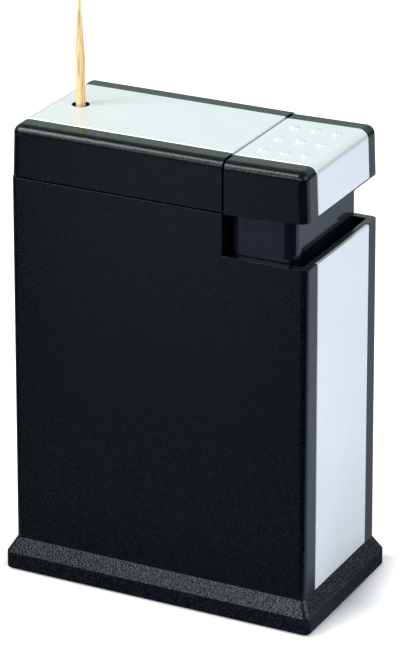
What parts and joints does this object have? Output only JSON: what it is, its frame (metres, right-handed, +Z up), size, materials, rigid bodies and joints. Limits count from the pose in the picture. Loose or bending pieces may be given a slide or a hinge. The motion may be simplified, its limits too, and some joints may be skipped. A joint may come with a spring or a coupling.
{
  "type": "toothpick dispenser",
  "caption": "Push-button toothpick dispenser: slim housing on a flared plinth, lift-off lid with a pick hole, sprung button, lever and sliding pick lifter",
  "frame": {"origin": "middle of the footprint, on the surface that the pads stand on", "axes": "+X towards the button end, +Y towards the back, +Z up"},
  "size_m": [0.074, 0.04, 0.1276],
  "materials": {
    "shell_black": "fine-textured satin black",
    "plinth_black": "coarser sparkling grain",
    "gloss_black": "polished black",
    "trim_silver": "satin anodised",
    "mechanism_white": "natural acetal",
    "magazine_grey": "moulded grey",
    "steel": "drawn wire and turned pins",
    "screw_steel": "zinc plated",
    "pad_rubber": "soft matt",
    "pick_wood": "turned birch"
  },
  "bodies": {
    "housing": {"housing_shell": "shell_black", "end_panel": "trim_silver", "base_plinth": "plinth_black", "rubber_pads": "pad_rubber", "base_screws": "screw_steel", "frame_screws": "screw_steel", "magazine": "magazine_grey", "lifter_rail": "mechanism_white", "pivot_bracket": "steel", "pivot_pin": "steel", "spring_seat": "magazine_grey", "stop_screw": "screw_steel", "return_spring": "steel"},
    "button": {"button_cap": "shell_black", "button_trim": "trim_silver", "button_stem": "gloss_black", "drive_link": "mechanism_white", "drive_pin": "steel", "link_screws": "screw_steel"},
    "lever": {"lever_arm": "mechanism_white"},
    "lifter": {"lifter_carriage": "mechanism_white", "lifter_pin": "steel", "lifter_rod": "steel", "pick_cup": "mechanism_white"},
    "toothpick": {"toothpick": "pick_wood"},
    "lid": {"lid_shell": "shell_black", "lid_trim": "trim_silver"}
  },
  "joints": [
    {"name": "button_slide", "type": "slide", "parent": "housing", "child": "button", "axis": [0, 0, -1], "range_m": [0, 0.0085], "stiffness_N_per_m": 300, "springref_m": -0.008, "deforming": ["return_spring"]},
    {"name": "lever_pivot", "type": "hinge", "parent": "housing", "child": "lever", "pos_m": [0.03, 0, 0.0184], "axis": [0, -1, 0], "range_deg": [0, 27.51]},
    {"name": "lifter_slide", "type": "slide", "parent": "housing", "child": "lifter", "axis": [0, 0, -1], "range_m": [0, 0.028]},
    {"name": "pick_lift", "type": "slide", "parent": "lifter", "child": "toothpick", "axis": [0, 0, 1], "range_m": [0, 0.045]},
    {"name": "lid_lift", "type": "slide", "parent": "housing", "child": "lid", "axis": [0, 0, 1], "range_m": [0, 0.04]}
  ],
  "couplings": [
    {"joint": "lever_pivot", "follows": "button_slide", "rad_per_m": 56.479},
    {"joint": "lifter_slide", "follows": "button_slide", "ratio": 3.2941}
  ]
}
